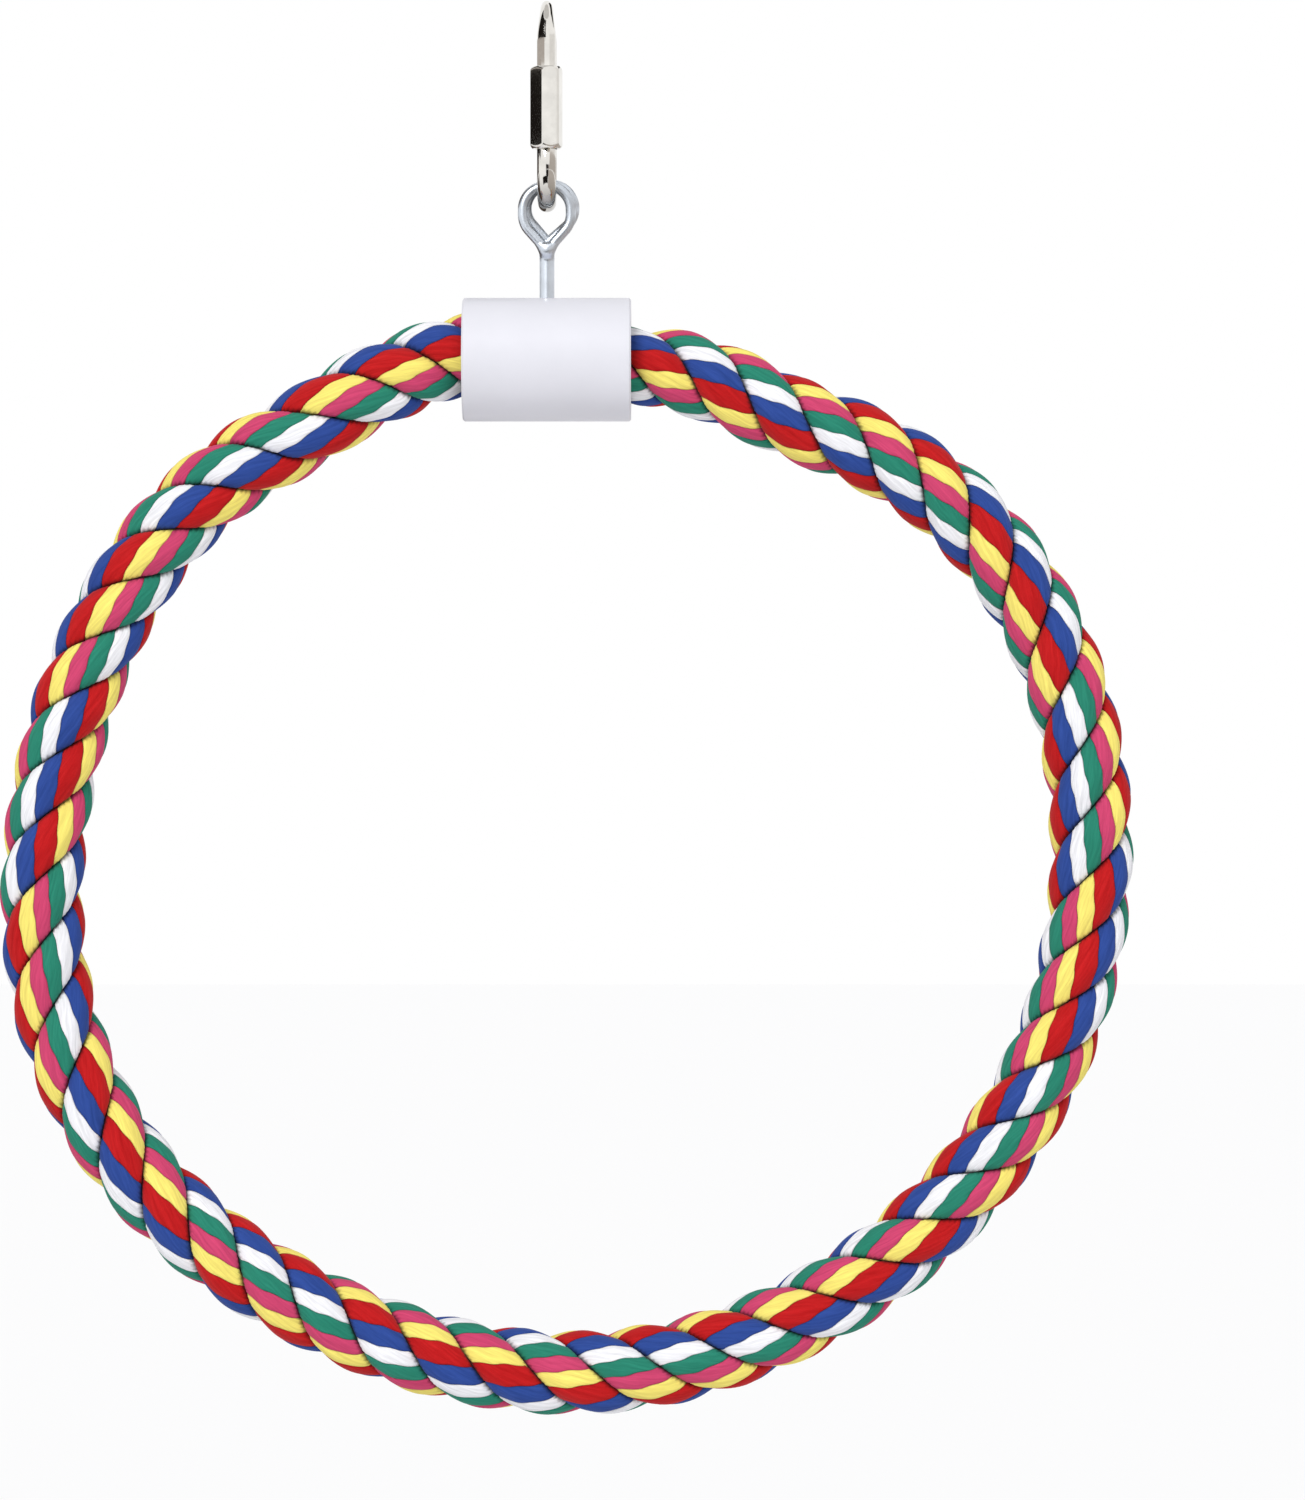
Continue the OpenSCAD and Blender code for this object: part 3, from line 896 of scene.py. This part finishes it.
def make_bolt():
    """The bolt with its eye, as one smooth skin with painted shade in its creases."""
    skin = rough_bolt()
    p = np.empty(3 * len(skin.vertices))
    skin.vertices.foreach_get("co", p)
    edges = np.empty(2 * len(skin.edges), np.int32)
    skin.edges.foreach_get("vertices", edges)
    p, edges = settled(p.reshape(-1, 3)), edges.reshape(-1, 2)
    for _ in range(EYE_ROUNDS):
        p = settled(relaxed(p, edges))
    faces = [list(face.vertices) for face in skin.polygons]
    piece = make_piece("bolt_with_eye", p, faces, zinc, "hanger", sharp=60)
    # Painted shade in the creases between the eye's turns
    paint(piece, "crease_shade", bolt_crease_shade(p))
    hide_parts("eye_bolt")
    return piece


make_rope()
make_link()
make_nut()
make_bolt()

# Finishes of the CAD pieces that show as they are
for node, material in {
    "washer": zinc,
    "lock_nut": zinc,
    "lock_nut_insert": nylon,
    "collar": collar_plastic,
    "core_wire": steel,
    "core_ferrule": steel,
    "end_wrap_left": tape,
    "end_wrap_right": tape,
}.items():
    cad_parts[node].data.materials.clear()
    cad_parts[node].data.materials.append(material)

# Camera: the photograph's frame, in the ring's plane
PHOTO_W, PHOTO_H = 1305, 1500
MM_PER_PIXEL = 0.27
PHOTO_AXIS_X, PHOTO_ORIGIN_Y = 547, 19.5
CAMERA_FAR = 1600
SENSOR = 36

# Light from all round, and a pale floor well below the ring, which keeps the shadow
WORLD_LIGHT = 0.64
WORLD_TINT = (252, 252, 255)
FLOOR_DROP = 240
FLOOR_HALF = 9000
FLOOR_GLOW = 0.662
FLOOR_PALE = (0.32, 0.32, 0.32, 1)
FLOOR_BOUNCE = (0.92, 0.92, 0.93, 1)


def make_camera():
    """A camera far in front of the ring, whose frame is the photograph's."""
    camera = add_object("camera", bpy.data.cameras.new("camera"))
    camera.location = Vector((
        (PHOTO_W / 2 - PHOTO_AXIS_X) * MM_PER_PIXEL,
        -CAMERA_FAR,
        (PHOTO_ORIGIN_Y - PHOTO_H / 2) * MM_PER_PIXEL,
    )) * MM
    camera.rotation_euler = (math.pi / 2, 0, 0)
    camera.data.sensor_width = SENSOR
    camera.data.lens = SENSOR * CAMERA_FAR / (PHOTO_H * MM_PER_PIXEL)
    bpy.context.scene.camera = camera


def seen_or_mirrored(nodes, links):
    """1 for rays from the camera, from gloss and through glass."""
    path = nodes.new("ShaderNodeLightPath")
    total = path.outputs["Is Camera Ray"]
    for name in ("Is Glossy Ray", "Is Transmission Ray"):
        both = nodes.new("ShaderNodeMath")
        both.operation = "MAXIMUM"
        links.new(total, both.inputs[0])
        links.new(path.outputs[name], both.inputs[1])
        total = both.outputs[0]
    return total


def show_or_light(nodes, links, shown, lit, output):
    """Ends a tree of nodes: one shader is seen or mirrored, and the other lights the rest."""
    choose = nodes.new("ShaderNodeMixShader")
    links.new(seen_or_mirrored(nodes, links), choose.inputs["Fac"])
    links.new(lit.outputs[0], choose.inputs[1])
    links.new(shown.outputs[0], choose.inputs[2])
    links.new(choose.outputs[0], nodes.new(output).inputs["Surface"])


def make_world():
    """White where it is seen or mirrored, and a softer light on everything else."""
    world = bpy.data.worlds.new("studio")
    world.use_nodes = True
    nodes, links = world.node_tree.nodes, world.node_tree.links
    nodes.clear()
    shown = nodes.new("ShaderNodeBackground")
    shown.inputs["Color"].default_value = (1, 1, 1, 1)
    lit = nodes.new("ShaderNodeBackground")
    lit.inputs["Color"].default_value = linear(WORLD_TINT)
    lit.inputs["Strength"].default_value = WORLD_LIGHT
    show_or_light(nodes, links, shown, lit, "ShaderNodeOutputWorld")
    bpy.context.scene.world = world


def stage_piece(name, points, faces):
    """A piece of the stage from points in millimetres, with the nodes and links of its look."""
    mesh = bpy.data.meshes.new(name)
    mesh.from_pydata([[c * MM for c in point] for point in points], [], faces)
    look = bpy.data.materials.new(name)
    look.use_nodes = True
    look.node_tree.nodes.clear()
    mesh.materials.append(look)
    piece = add_object(name, mesh)
    return piece, look.node_tree.nodes, look.node_tree.links


def make_floor():
    """The floor: it glows where it is seen, and is a plain pale surface for other light."""
    z = cad_box[0].z / MM - FLOOR_DROP
    square = ((-1, -1), (1, -1), (1, 1), (-1, 1))
    corners = [(x * FLOOR_HALF, y * FLOOR_HALF, z) for x, y in square]
    _, nodes, links = stage_piece("floor", corners, [(0, 1, 2, 3)])
    glow = nodes.new("ShaderNodeEmission")
    glow.inputs["Strength"].default_value = FLOOR_GLOW
    pale = nodes.new("ShaderNodeBsdfDiffuse")
    pale.inputs["Color"].default_value = FLOOR_PALE
    shown = nodes.new("ShaderNodeAddShader")
    links.new(glow.outputs[0], shown.inputs[0])
    links.new(pale.outputs[0], shown.inputs[1])
    lit = nodes.new("ShaderNodeBsdfDiffuse")
    lit.inputs["Color"].default_value = FLOOR_BOUNCE
    show_or_light(nodes, links, shown, lit, "ShaderNodeOutputMaterial")


make_camera()
make_world()
make_floor()

# Grey cards for the bright metal to mirror: their two distances from the link's axis, the
# heights of their rims, near and far, and their colours
FLAG_R = 70
FLAG_FAR_R = 300
FLAG_STEPS = 16
LOW_Z = -43
MIDDLE_Z = -30.5
UPPER_Z = -6.3
HIGH_Z = 3
RIGHT_TOP_Z = 12
ABOVE_TOP_Z = 95
TOP_Z = 110
FAR_FLOOR_Z = -400
FAR_LOW_Z = -290
FAR_MIDDLE_Z = -150
FAR_HORIZON_Z = -56
FAR_UPPER_Z = 100
FAR_TOP_Z = 250
BLACK = (0.012, 0.010, 0.009)
DARK_BROWN = (0.09, 0.07, 0.06)
TAUPE = (0.48, 0.44, 0.41)
MID_GREY = (0.62, 0.61, 0.60)
LIGHT_GREY = (0.84, 0.83, 0.82)


def add_flag(name, azimuths, low, high, colour):
    """A curved card that only gloss sees, between two rims of given radius and height.

    Azimuths in degrees run round the link from the front, where the camera stands, to +X.
    """
    turn = np.radians(np.linspace(*azimuths, FLAG_STEPS + 1))[None, :]
    r, z = (np.linspace(a, b, FLAG_STEPS + 1)[:, None] for a, b in zip(low, high))
    points = np.stack([r * np.sin(turn), -r * np.cos(turn), z + 0 * turn], -1).reshape(-1, 3)
    row = np.arange(FLAG_STEPS)
    start = (row[:, None] * (FLAG_STEPS + 1) + row).ravel()
    faces = [(i, i + 1, i + FLAG_STEPS + 2, i + FLAG_STEPS + 1) for i in start.tolist()]
    flag, nodes, links = stage_piece(name, points.tolist(), faces)
    light = nodes.new("ShaderNodeEmission")
    light.inputs["Color"].default_value = (*colour, 1)
    links.new(light.outputs[0], nodes.new("ShaderNodeOutputMaterial").inputs["Surface"])
    flag.visible_camera = False
    flag.visible_diffuse = False
    flag.visible_transmission = False
    flag.visible_shadow = False


def add_low_flags(name, azimuths, far_z, colour):
    """Two cards for what is mirrored from below: a near one, and a far one down to far_z."""
    add_flag(name, azimuths, (FLAG_R, LOW_Z), (FLAG_R, MIDDLE_Z), colour)
    add_flag(f"{name}_far", azimuths, (FLAG_FAR_R, far_z), (FLAG_FAR_R, FAR_HORIZON_Z), colour)


add_flag("flag_left", (-175, -66), (FLAG_R, MIDDLE_Z), (FLAG_R, UPPER_Z), BLACK)
add_flag("flag_upper_left", (-175, -20), (FLAG_R, UPPER_Z), (FLAG_R, HIGH_Z), TAUPE)
add_flag("flag_above", (-120, -5), (FLAG_R, HIGH_Z), (FLAG_R, ABOVE_TOP_Z), BLACK)
add_flag("flag_top", (-180, 180), (0, TOP_Z), (FLAG_R, TOP_Z), MID_GREY)
add_flag("flag_right", (34.5, 120), (FLAG_R, MIDDLE_Z), (FLAG_R, RIGHT_TOP_Z), LIGHT_GREY)
add_flag("flag_upper_right", (118, 165), (FLAG_FAR_R, FAR_UPPER_Z), (FLAG_FAR_R, FAR_TOP_Z), BLACK)
add_low_flags("flag_low_left", (-175, -100), FAR_FLOOR_Z, DARK_BROWN)
add_low_flags("flag_front", (-3, 24), FAR_MIDDLE_Z, BLACK)
add_flag("flag_below", (-47, 20), (FLAG_FAR_R, FAR_LOW_Z), (FLAG_FAR_R, FAR_MIDDLE_Z), BLACK)
add_low_flags("flag_low_right", (24, 150), FAR_FLOOR_Z, TAUPE)


def add_sun(name, toward, strength, spread, in_gloss):
    """A soft lamp far away: it shines along toward, and looks spread degrees wide."""
    lamp = bpy.data.lights.new(name, "SUN")
    lamp.energy = strength
    lamp.angle = math.radians(spread)
    holder = add_object(name, lamp)
    holder.rotation_mode = "QUATERNION"
    holder.rotation_quaternion = Vector(toward).to_track_quat("-Z", "Y")
    holder.visible_glossy = in_gloss


add_sun("key", toward=(0.35, 0.85, -0.62), strength=1.72, spread=25, in_gloss=True)
add_sun("fill", toward=(-0.6, 0.7, -0.15), strength=0.70, spread=60, in_gloss=False)

bpy.context.scene.view_settings.view_transform = "Standard"
